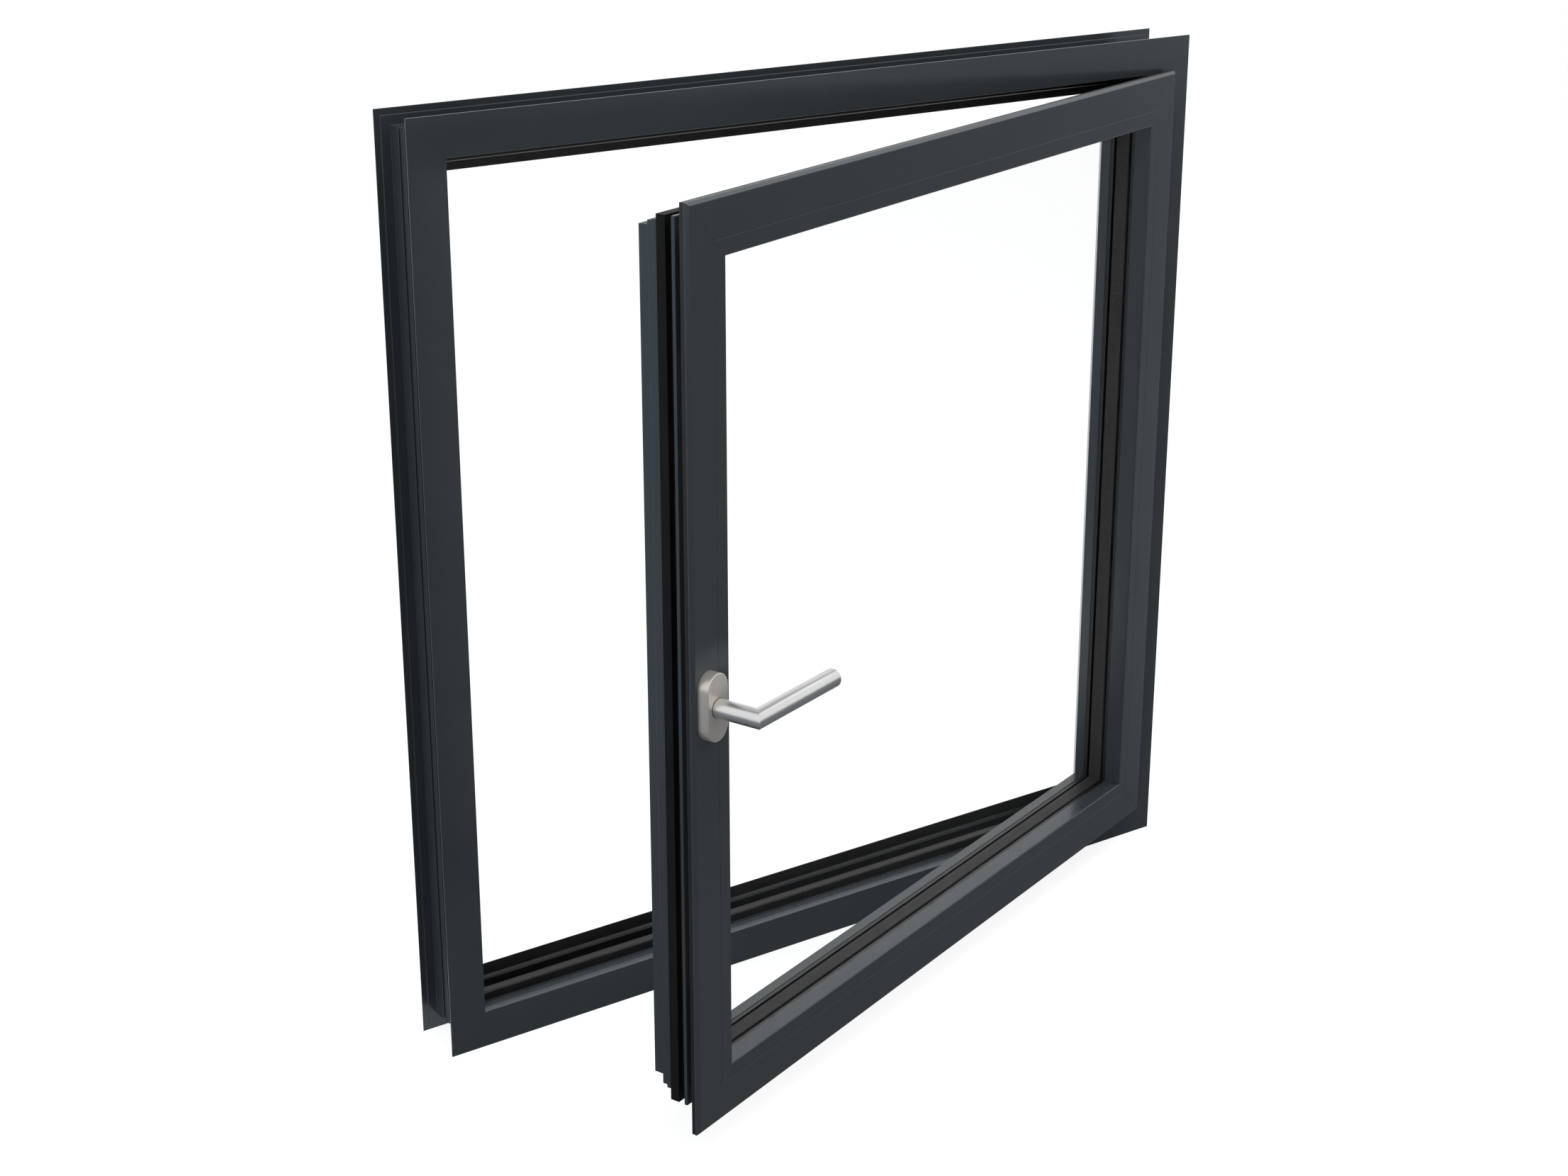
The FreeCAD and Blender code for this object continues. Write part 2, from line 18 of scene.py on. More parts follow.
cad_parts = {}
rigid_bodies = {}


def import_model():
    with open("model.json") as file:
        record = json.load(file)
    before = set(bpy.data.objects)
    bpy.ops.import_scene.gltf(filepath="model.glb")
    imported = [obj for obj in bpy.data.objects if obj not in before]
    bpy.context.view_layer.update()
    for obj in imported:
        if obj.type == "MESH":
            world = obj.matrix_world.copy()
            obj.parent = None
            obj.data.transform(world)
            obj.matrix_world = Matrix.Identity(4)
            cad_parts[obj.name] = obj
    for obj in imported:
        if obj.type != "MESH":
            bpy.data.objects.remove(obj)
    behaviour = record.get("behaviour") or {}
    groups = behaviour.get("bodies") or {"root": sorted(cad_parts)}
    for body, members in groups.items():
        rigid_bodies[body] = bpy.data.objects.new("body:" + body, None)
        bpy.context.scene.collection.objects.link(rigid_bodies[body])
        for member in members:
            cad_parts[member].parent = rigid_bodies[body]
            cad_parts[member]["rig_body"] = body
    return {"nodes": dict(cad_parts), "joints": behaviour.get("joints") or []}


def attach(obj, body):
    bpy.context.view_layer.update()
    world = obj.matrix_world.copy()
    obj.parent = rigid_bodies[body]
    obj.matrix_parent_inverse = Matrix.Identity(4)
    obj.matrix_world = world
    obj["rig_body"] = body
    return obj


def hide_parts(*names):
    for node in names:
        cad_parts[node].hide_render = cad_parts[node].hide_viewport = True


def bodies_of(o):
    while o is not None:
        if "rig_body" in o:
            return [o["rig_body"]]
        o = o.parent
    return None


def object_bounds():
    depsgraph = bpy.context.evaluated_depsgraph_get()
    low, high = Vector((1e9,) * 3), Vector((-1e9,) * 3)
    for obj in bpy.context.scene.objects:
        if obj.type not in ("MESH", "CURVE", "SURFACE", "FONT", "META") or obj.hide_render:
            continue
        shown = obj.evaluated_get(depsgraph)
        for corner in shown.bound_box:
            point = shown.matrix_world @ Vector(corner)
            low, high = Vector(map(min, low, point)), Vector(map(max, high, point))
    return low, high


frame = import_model()
CAD_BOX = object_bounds()

log = logging.getLogger("window")

Colour = tuple[float, float, float]
Point = tuple[float, float, float]
Span = tuple[float, float]
Reshape = Callable[[bmesh.types.BMesh], None]

MM = 0.001
UP = Vector((0, 0, 1))
MERGE_DISTANCE = 1e-6
FLAT_ANGLE = math.radians(0.4)
EDGE_ANGLE = math.radians(28)
SMOOTH_ANGLE = math.radians(40)
RIM_TOLERANCE = 0.01 * MM
BAR_ENDS = 2
MITRE_CORNERS = 6
MITRE_LEAN = (-0.8, -0.6)
PUNCH_SIDES = 8
HEIGHT_DIGITS = 5
CLOUD_SPAN = (0.2, 0.8)
LINE_SPAN = (0.25, 0.75)
WHITE = (1.0, 1.0, 1.0, 1.0)
MIX_FIRST, MIX_SECOND, MIX_RESULT = 6, 7, 2
CARD_LIFT = 0.2 * MM
CARD_LEVEL = CAD_BOX[0][2] + CARD_LIFT
SIDES = ("sill", "jamb_handle", "head", "jamb_hinge")


class Body(Enum):
    """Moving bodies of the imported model."""

    FRAME = "frame"
    HINGE_ARM = "hinge_arm"
    SASH = "sash"
    HANDLE = "handle"
    STAY_ARM = "stay_arm"


class Slot(Enum):
    """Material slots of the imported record."""

    COAT = "profile_coat"
    INSULATION = "insulating_bar"
    SEAL = "seal_rubber"
    SPACER = "spacer_bar"
    GLASS = "glass"
    ROSETTE = "rosette_satin"
    LEVER = "lever_steel"
    GEAR = "gear_steel"


class Wiring:
    """Short ways to add nodes to one node tree and to join them."""

    def __init__(self, tree: bpy.types.NodeTree) -> None:
        """Start on a tree, emptied of its nodes."""
        self.tree = tree
        tree.nodes.clear()

    def add(self, kind: str, sockets: dict[Any, Any] | None = None, **settings: Any) -> bpy.types.Node:
        """Add one node.

        Args:
            kind: Blender's node type.
            sockets: Values or source sockets for the node's inputs, by name or index.
            settings: Properties of the node itself.

        Returns:
            The new node.
        """
        node = self.tree.nodes.new(kind)
        for key, value in settings.items():
            setattr(node, key, value)
        for key, value in (sockets or {}).items():
            if isinstance(value, bpy.types.NodeSocket):
                self.tree.links.new(value, node.inputs[key])
            else:
                node.inputs[key].default_value = value
        return node

    def spread(self, value: bpy.types.NodeSocket, low: float, high: float) -> bpy.types.NodeSocket:
        """Stretch a value that runs from 0 to 1 to another span.

        Args:
            value: Socket to stretch.
            low: Result at 0.
            high: Result at 1.

        Returns:
            The stretched socket.
        """
        node = self.add("ShaderNodeMapRange", {"Value": value, "To Min": low, "To Max": high})
        return node.outputs["Result"]

    def between(self, mask: bpy.types.NodeSocket, first: Colour, second: Colour) -> bpy.types.NodeSocket:
        """Mix two colours by a mask.

        Args:
            mask: Share of the second colour.
            first: Linear colour at 0.
            second: Linear colour at 1.

        Returns:
            The colour socket.
        """
        sockets = {0: mask, MIX_FIRST: (*first, 1), MIX_SECOND: (*second, 1)}
        return self.add("ShaderNodeMix", sockets, data_type="RGBA").outputs[MIX_RESULT]


def group_tree(name: str, kind: str, inputs: dict[str, str], outputs: dict[str, str]) -> bpy.types.NodeTree:
    """Make a node group with named sockets.

    Args:
        name: Name of the group.
        kind: Blender's tree type.
        inputs: Socket type of each input, by name.
        outputs: Socket type of each output, by name.

    Returns:
        The new tree, with no nodes in it yet.
    """
    tree = bpy.data.node_groups.new(name, kind)
    for label, socket_type in inputs.items():
        tree.interface.new_socket(label, in_out="INPUT", socket_type=socket_type)
    for label, socket_type in outputs.items():
        tree.interface.new_socket(label, in_out="OUTPUT", socket_type=socket_type)
    return tree


def fine_grain() -> bpy.types.NodeTree:
    """Grain and slow clouding of a sprayed, moulded or blasted surface.

    Returns:
        The shader group, made on first use. Grain and Cloud run from 0 to 1.
    """
    name = "fine_grain"
    if name in bpy.data.node_groups:
        return bpy.data.node_groups[name]
    number, vector = "NodeSocketFloat", "NodeSocketVector"
    tree = group_tree(
        name, "ShaderNodeTree",
        {"Place": vector, "Grain Scale": number, "Cloud Scale": number},
        {"Grain": number, "Cloud": number},
    )
    wiring = Wiring(tree)
    given = wiring.add("NodeGroupInput").outputs
    grain = wiring.add("ShaderNodeTexNoise", {
        "Vector": given["Place"], "Scale": given["Grain Scale"], "Detail": 2.0, "Roughness": 0.6,
    })
    cloud = wiring.add("ShaderNodeTexNoise", {
        "Vector": given["Place"], "Scale": given["Cloud Scale"], "Detail": 3.0, "Roughness": 0.5,
    })
    wide = wiring.add("ShaderNodeMapRange", {
        "Value": cloud.outputs["Fac"], "From Min": CLOUD_SPAN[0], "From Max": CLOUD_SPAN[1],
    }, interpolation_type="SMOOTHSTEP")
    wiring.add("NodeGroupOutput", {"Grain": grain.outputs["Fac"], "Cloud": wide.outputs["Result"]})
    return tree


def brush_lines() -> bpy.types.NodeTree:
    """Fine parallel lines of a brushed or rolled metal.

    Returns:
        The shader group, made on first use. Lines and Streaks run from 0 to 1.
    """
    name = "brush_lines"
    if name in bpy.data.node_groups:
        return bpy.data.node_groups[name]
    number, vector = "NodeSocketFloat", "NodeSocketVector"
    tree = group_tree(
        name, "ShaderNodeTree",
        {"Place": vector, "Line Scale": vector, "Streak Scale": vector},
        {"Lines": number, "Streaks": number},
    )
    wiring = Wiring(tree)
    given = wiring.add("NodeGroupInput").outputs
    results = {}
    for label, scale in (("Lines", "Line Scale"), ("Streaks", "Streak Scale")):
        sockets = {0: given["Place"], 1: given[scale]}
        stretched = wiring.add("ShaderNodeVectorMath", sockets, operation="MULTIPLY")
        noise = wiring.add("ShaderNodeTexNoise", {
            "Vector": stretched.outputs["Vector"], "Scale": 1.0, "Detail": 3.0, "Roughness": 0.65,
        })
        wide = wiring.add("ShaderNodeMapRange", {
            "Value": noise.outputs["Fac"], "From Min": LINE_SPAN[0], "From Max": LINE_SPAN[1],
        })
        results[label] = wide.outputs["Result"]
    wiring.add("NodeGroupOutput", results)
    return tree


@dataclass(frozen=True)
class Finish:
    """A surface finish: the name of its material and the record's slot that it belongs to."""

    name: str
    slot: Slot

    def material(self) -> bpy.types.Material:
        """Give the finish's material, made on first use.

        Returns:
            The material.
        """
        found = bpy.data.materials.get(self.name)
        if found:
            return found
        made = bpy.data.materials.new(self.name)
        made.use_nodes = True
        wiring = Wiring(made.node_tree)
        wiring.add("ShaderNodeOutputMaterial", {"Surface": self.surface(wiring)})
        return made

    def surface(self, wiring: Wiring) -> bpy.types.NodeSocket:
        """Build the shader; each kind of finish has its own.

        Args:
            wiring: The material's node tree.

        Returns:
            The shader socket that goes to the output.
        """
        raise NotImplementedError


@dataclass(frozen=True)
class GrainedFinish(Finish):
    """Sprayed coat, rubber, moulded plastic or blasted metal: fine grain over slow clouding."""

    dark: Colour
    light: Colour
    roughness: Span
    specular: float
    gloss_tint: Colour = (1.0, 1.0, 1.0)
    metallic: float = 0.0
    grain_scale: float = 2600.0
    cloud_scale: float = 9.0
    relief: float = 0.06
    relief_depth: float = 0.02 * MM

    def surface(self, wiring: Wiring) -> bpy.types.NodeSocket:
        """Build the shader.

        Args:
            wiring: The material's node tree.

        Returns:
            The shader socket that goes to the output.
        """
        place = wiring.add("ShaderNodeTexCoord").outputs["Object"]
        grain = wiring.add("ShaderNodeGroup", node_tree=fine_grain())
        wiring.tree.links.new(place, grain.inputs["Place"])
        grain.inputs["Grain Scale"].default_value = self.grain_scale
        grain.inputs["Cloud Scale"].default_value = self.cloud_scale
        cloud = grain.outputs["Cloud"]
        bump = wiring.add("ShaderNodeBump", {
            "Strength": self.relief, "Distance": self.relief_depth, "Height": grain.outputs["Grain"],
        })
        shader = wiring.add("ShaderNodeBsdfPrincipled", {
            "Base Color": wiring.between(cloud, self.dark, self.light),
            "Roughness": wiring.spread(cloud, *self.roughness),
            "Metallic": self.metallic,
            "Specular IOR Level": self.specular,
            "Specular Tint": (*self.gloss_tint, 1),
            "Normal": bump.outputs["Normal"],
        })
        return shader.outputs["BSDF"]


class LineCourse(Enum):
    """What the lines of a brushed finish follow."""

    OWN_MAP = "UV"
    OBJECT = "Object"


@dataclass(frozen=True)
class BrushedFinish(Finish):
    """Brushed or rolled steel: fine lines that vary the gloss, and longer streaks of tone."""

    dark: Colour
    light: Colour
    roughness: Span
    course: LineCourse
    line_scale: Point
    streak_scale: Point
    relief: float = 0.05
    relief_depth: float = 0.01 * MM

    def surface(self, wiring: Wiring) -> bpy.types.NodeSocket:
        """Build the shader.

        Args:
            wiring: The material's node tree.

        Returns:
            The shader socket that goes to the output.
        """
        place = wiring.add("ShaderNodeTexCoord").outputs[self.course.value]
        brushed = wiring.add("ShaderNodeGroup", node_tree=brush_lines())
        wiring.tree.links.new(place, brushed.inputs["Place"])
        brushed.inputs["Line Scale"].default_value = self.line_scale
        brushed.inputs["Streak Scale"].default_value = self.streak_scale
        lines = brushed.outputs["Lines"]
        bump = wiring.add("ShaderNodeBump", {
            "Strength": self.relief, "Distance": self.relief_depth, "Height": lines,
        })
        shader = wiring.add("ShaderNodeBsdfPrincipled", {
            "Base Color": wiring.between(brushed.outputs["Streaks"], self.dark, self.light),
            "Roughness": wiring.spread(lines, *self.roughness),
            "Metallic": 1.0,
            "Normal": bump.outputs["Normal"],
        })
        return shader.outputs["BSDF"]


@dataclass(frozen=True)
class ClearGlass(Finish):
    """Float glass that lets the lamps through, with a trace of wiping in its gloss."""

    tint: Colour
    ior: float
    wiping: Span
    wiping_scale: float

    def surface(self, wiring: Wiring) -> bpy.types.NodeSocket:
        """Build the shader.

        Args:
            wiring: The material's node tree.

        Returns:
            The shader socket that goes to the output.
        """
        place = wiring.add("ShaderNodeTexCoord").outputs["Object"]
        grain = wiring.add("ShaderNodeGroup", node_tree=fine_grain())
        wiring.tree.links.new(place, grain.inputs["Place"])
        grain.inputs["Grain Scale"].default_value = self.wiping_scale
        grain.inputs["Cloud Scale"].default_value = self.wiping_scale
        pane = wiring.add("ShaderNodeBsdfPrincipled", {
            "Base Color": (*self.tint, 1),
            "Roughness": wiring.spread(grain.outputs["Cloud"], *self.wiping),
            "IOR": self.ior,
            "Transmission Weight": 1.0,
        })
        through = wiring.add("ShaderNodeBsdfTransparent", {"Color": (*self.tint, 1)})
        lamp_ray = wiring.add("ShaderNodeLightPath").outputs["Is Shadow Ray"]
        mixed = wiring.add("ShaderNodeMixShader", {
            0: lamp_ray, 1: pane.outputs["BSDF"], 2: through.outputs["BSDF"],
        })
        return mixed.outputs["Shader"]


POWDER_COAT = GrainedFinish(
    "powder_coat", Slot.COAT,
    dark=(0.0338, 0.0394, 0.0438), light=(0.0354, 0.0412, 0.0458),
    roughness=(0.21, 0.24), specular=0.59, gloss_tint=(0.82, 0.95, 1.0), cloud_scale=7.0,
)
INSULATION = GrainedFinish(
    "polyamide", Slot.INSULATION,
    dark=(0.0070, 0.0070, 0.0072), light=(0.0095, 0.0094, 0.0092),
    roughness=(0.48, 0.58), specular=0.10, grain_scale=1800.0, cloud_scale=25.0, relief=0.10,
)
SEAL_RUBBER = GrainedFinish(
    "black_seal", Slot.SEAL,
    dark=(0.0064, 0.0058, 0.0052), light=(0.0082, 0.0076, 0.0068),
    roughness=(0.36, 0.44), specular=0.55, grain_scale=1500.0, cloud_scale=30.0, relief=0.12,
)
SPACER_BAR = GrainedFinish(
    "grey_spacer", Slot.SPACER,
    dark=(0.0260, 0.0243, 0.0240), light=(0.0310, 0.0290, 0.0284),
    roughness=(0.46, 0.56), specular=0.20, grain_scale=2200.0, cloud_scale=40.0,
)
PUNCHED_RIM = GrainedFinish(
    "punched_rim", Slot.SPACER,
    dark=(0.0700, 0.0680, 0.0670), light=(0.0850, 0.0830, 0.0810),
    roughness=(0.40, 0.50), specular=0.30, cloud_scale=60.0,
)
PANE = ClearGlass(
    "float_glass", Slot.GLASS,
    tint=(0.994, 0.998, 0.997), ior=1.07, wiping=(0.0, 0.006), wiping_scale=5.0,
)
ROSETTE_SATIN = GrainedFinish(
    "satin_plate", Slot.ROSETTE,
    dark=(0.620, 0.580, 0.535), light=(0.648, 0.608, 0.562),
    roughness=(0.34, 0.38), specular=0.5, metallic=0.7, grain_scale=3200.0, cloud_scale=22.0, relief=0.08,
)
LEVER_STEEL = BrushedFinish(
    "brushed_lever", Slot.LEVER,
    dark=(0.665, 0.668, 0.660), light=(0.755, 0.758, 0.748),
    roughness=(0.27, 0.34), course=LineCourse.OWN_MAP,
    line_scale=(9000.0, 60.0, 1.0), streak_scale=(500.0, 12.0, 1.0),
)
GEAR_STEEL = BrushedFinish(
    "rolled_gear", Slot.GEAR,
    dark=(0.420, 0.420, 0.415), light=(0.540, 0.540, 0.530),
    roughness=(0.26, 0.40), course=LineCourse.OBJECT,
    line_scale=(300.0, 300.0, 300.0), streak_scale=(60.0, 60.0, 60.0),
)
# Painted shade: a black ring that stands for the shaded gap where the lever's neck enters the rosette.
GAP_SHADE_RING = GrainedFinish(
    "painted_gap_shade", Slot.INSULATION,
    dark=(0.0060, 0.0060, 0.0060), light=(0.0090, 0.0090, 0.0090),
    roughness=(0.45, 0.55), specular=0.20, cloud_scale=40.0,
)


def linked(mesh: bpy.types.Mesh, name: str) -> bpy.types.Object:
    """Put a mesh in the scene as an object at the origin.

    Args:
        mesh: The mesh, with its place in its vertices.
        name: Name of the piece.

    Returns:
        The new object.
    """
    piece = bpy.data.objects.new(name, mesh)
    bpy.context.scene.collection.objects.link(piece)
    return piece


def finished(
    piece: bpy.types.Object, body: Body, finish: Finish, nodes: Sequence[str] = ()
) -> bpy.types.Object:
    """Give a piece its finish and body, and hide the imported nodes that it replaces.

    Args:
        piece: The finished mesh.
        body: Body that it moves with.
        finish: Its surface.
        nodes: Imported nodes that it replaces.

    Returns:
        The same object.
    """
    piece.data.materials.clear()
    piece.data.materials.append(finish.material())
    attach(piece, body.value)
    if nodes:
        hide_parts(*nodes)
    log.info("%s rides on %s in %s", piece.name, body.value, finish.name)
    return piece


def body_of(node: str) -> Body:
    """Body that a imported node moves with."""
    return Body(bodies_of(frame["nodes"][node])[0])


def is_under_mitre(face: bmesh.types.BMFace) -> bool:
    """Whether a face is the sawn end of a bar that leans over its neighbour, with a rim that stays sharp."""
    return len(face.verts) > MITRE_CORNERS and MITRE_LEAN[0] < face.normal.z < MITRE_LEAN[1]


def softened(
    node: str, finish: Finish, edge: float, segments: int = 2, reshape: Reshape | None = None
) -> bpy.types.Object:
    """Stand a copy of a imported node, with its sharp edges rounded, in the node's place.

    Args:
        node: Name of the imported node.
        finish: Surface of the copy.
        edge: Width of the rounding.
        segments: Steps in the rounding.
        reshape: Change to the copy before it is rounded.

    Returns:
        The copy.
    """
    packed = frame["nodes"][node].data
    mesh = bpy.data.meshes.new(node)
    corners = [corner.co for corner in packed.vertices]
    mesh.from_pydata(corners, [], [face.vertices for face in packed.polygons])
    shape = bmesh.new()
    shape.from_mesh(mesh)
    bmesh.ops.remove_doubles(shape, verts=shape.verts, dist=MERGE_DISTANCE)
    bmesh.ops.dissolve_limit(shape, angle_limit=FLAT_ANGLE, verts=shape.verts, edges=shape.edges)
    if reshape:
        reshape(shape)
        shape.normal_update()
    for face in shape.faces:
        face.smooth = True
    rounded = shape.edges.layers.float.new("bevel_weight_edge")
    for line in shape.edges:
        line.smooth = not any(is_under_mitre(face) for face in line.link_faces)
        line[rounded] = float(line.calc_face_angle(0.0) > EDGE_ANGLE and line.smooth)
    shape.to_mesh(mesh)
    shape.free()
    piece = linked(mesh, f"{finish.name}_{node}")
    rounding = piece.modifiers.new("edge_rounding", "BEVEL")
    rounding.width = edge
    rounding.segments = segments
    rounding.limit_method = "WEIGHT"
    rounding.harden_normals = True
    return finished(piece, body_of(node), finish, [node])


def reach(node: str, origin: Vector, axis: Vector) -> Span:
    """Least and greatest distance of a node's corners from a point, along a direction.

    Args:
        node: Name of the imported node.
        origin: Point that is measured from.
        axis: Unit direction.

    Returns:
        The two distances.
    """
    spots = [(corner.co - origin).dot(axis) for corner in frame["nodes"][node].data.vertices]
    return min(spots), max(spots)


@dataclass(frozen=True)
class LocalFrame:
    """A place on the open sash: its origin, the way along the sash, up, and out to the weather."""

    origin: Vector
    along: Vector
    out: Vector

    @classmethod
    def of_handle(cls) -> "LocalFrame":
        """Take the place from the joint that the lever turns on.

        Returns:
            The place, with its origin on the sash face at the lever's axis.
        """
        joint = next(row for row in frame["joints"] if row["name"] == "handle_turn")
        out = Vector(joint["axis"]).normalized()
        return cls(Vector(joint["pos_m"]), out.cross(UP).normalized(), out)

    def matrix(self) -> Matrix:
        """Matrix that takes (along, up, out) to the model's frame."""
        turn = Matrix((self.along, UP, self.out)).transposed()
        return Matrix.Translation(self.origin) @ turn.to_4x4()

    def middle_of(self, node: str) -> Vector:
        """Middle of a node's box, measured along this frame's directions.

        Args:
            node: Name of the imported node.

        Returns:
            The middle, in the model's frame.
        """
        spans = [reach(node, self.origin, axis) for axis in (self.along, UP, self.out)]
        return self.matrix() @ Vector([(low + high) / 2 for low, high in spans])


@dataclass
class FixedFrame:
    """The frame in the wall: two coated rings of bars, the insulating ring between them, two seals."""

    coat_edge: float = 0.45 * MM
    seal_edge: float = 0.7 * MM
    bar_edge: float = 0.3 * MM

    def build(self) -> None:
        """Dress every piece of the frame."""
        for side in SIDES:
            softened(f"frame_inner_{side}", POWDER_COAT, self.coat_edge)
            softened(f"frame_outer_{side}", POWDER_COAT, self.coat_edge)
        softened("frame_thermal_break", INSULATION, self.bar_edge)
        softened("frame_centre_seal", SEAL_RUBBER, self.seal_edge, 3)
        softened("frame_stop_seal", SEAL_RUBBER, self.bar_edge)


@dataclass
class Sash:
    """The opening leaf without its glass: coated bars and beads, insulating ring, lip seal."""

    coat_edge: float = 0.45 * MM
    bead_edge: float = 0.38 * MM
    seal_edge: float = 0.5 * MM
    bar_edge: float = 0.4 * MM
    rim_shift: float = 8.6 * MM

    def build(self) -> None:
        """Dress every piece of the leaf."""
        for side in SIDES:
            softened(f"sash_inner_{side}", POWDER_COAT, self.coat_edge)
            softened(f"sash_outer_{side}", POWDER_COAT, self.coat_edge, reshape=self.lean_back)
            softened(f"glazing_bead_{side}", POWDER_COAT, self.bead_edge)
        softened("sash_thermal_break", INSULATION, self.bar_edge)
        softened("sash_lip_seal", SEAL_RUBBER, self.seal_edge)

    def lean_back(self, shape: bmesh.types.BMesh) -> None:
        """Draw the inner rim of a bar's weather face outwards, so that its slope hides behind the leg.

        Args:
            shape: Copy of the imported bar.
        """
        place = LocalFrame.of_handle()
        depths = {corner: (corner.co - place.origin).dot(place.out) for corner in shape.verts}
        rim = [corner for corner in shape.verts if max(depths.values()) - depths[corner] < RIM_TOLERANCE]
        middle = place.middle_of("glass_spacer")
        for corner in sorted(rim, key=lambda spot: (spot.co - middle).length)[:BAR_ENDS]:
            off = corner.co - middle
            outwards = math.copysign(1, off.dot(place.along)) * place.along + math.copysign(1, off.z) * UP
            corner.co += self.rim_shift * outwards


@dataclass
class Glazing:
    """Two panes, the spacer bar with its punched rows, and the seals on both faces."""

    pitch: float = 11.0 * MM
    row_gap: float = 8.4 * MM
    hole_radius: float = 0.55 * MM
    hole_rise: float = 0.12 * MM
    corner_margin: float = 9.0 * MM
    seal_edge: float = 0.4 * MM
    pane_edge: float = 0.5 * MM

    def build(self) -> None:
        """Dress the panes, the spacer and the seals, and punch the spacer."""
        for pane in ("glass_inner", "glass_outer"):
            softened(pane, PANE, self.pane_edge)
        softened("glass_spacer", SPACER_BAR, self.seal_edge)
        softened("glazing_seal_inner", SEAL_RUBBER, self.seal_edge)
        softened("glazing_seal_outer", SEAL_RUBBER, self.seal_edge)
        self.perforations()

    def perforations(self) -> bpy.types.Object:
        """Make the two rows of punched rims round the daylight side of the spacer.

        Returns:
            The finished piece.
        """
        place = LocalFrame.of_handle()
        low_x, high_x = reach("glass_spacer", place.origin, place.along)
        low_z, high_z = reach("glass_spacer", place.origin, UP)
        depth = self.bar_width()
        sizes = {
            "Width": high_x - low_x - 2 * depth,
            "Height": high_z - low_z - 2 * depth,
            "Pitch": self.pitch,
            "Row Gap": self.row_gap,
            "Hole Radius": self.hole_radius,
            "Hole Rise": self.hole_rise,
            "Corner Margin": self.corner_margin,
            "Material": PUNCHED_RIM.material(),
        }
        mesh = grown(punched_rows(), sizes)
        mesh.transform(LocalFrame(place.middle_of("glass_spacer"), place.along, place.out).matrix())
        return finished(linked(mesh, "spacer_perforations"), Body.SASH, PUNCHED_RIM)

    def bar_width(self) -> float:
        """Width of the spacer bar from the glass edge inwards, read from its sill run.

        Returns:
            The width in metres.
        """
        corners = frame["nodes"]["glass_spacer"].data.vertices
        heights = sorted({round(corner.co.z, HEIGHT_DIGITS) for corner in corners})
        return heights[1] - heights[0]


def grown(tree: bpy.types.NodeTree, sizes: dict[str, Any]) -> bpy.types.Mesh:
    """Run a geometry tree once and keep the result as a plain mesh.

    Args:
        tree: The geometry node tree.
        sizes: Value of each of its named inputs.

    Returns:
        The mesh, with its materials.
    """
    seed = linked(bpy.data.meshes.new("seed"), "seed")
    modifier = seed.modifiers.new("rows", "NODES")
    modifier.node_group = tree
    for item in tree.interface.items_tree:
        if item.item_type == "SOCKET" and item.in_out == "INPUT" and item.name in sizes:
            modifier[item.identifier] = sizes[item.name]
    evaluated = seed.evaluated_get(bpy.context.evaluated_depsgraph_get())
    mesh = bpy.data.meshes.new_from_object(evaluated)
    bpy.data.objects.remove(seed)
    return mesh


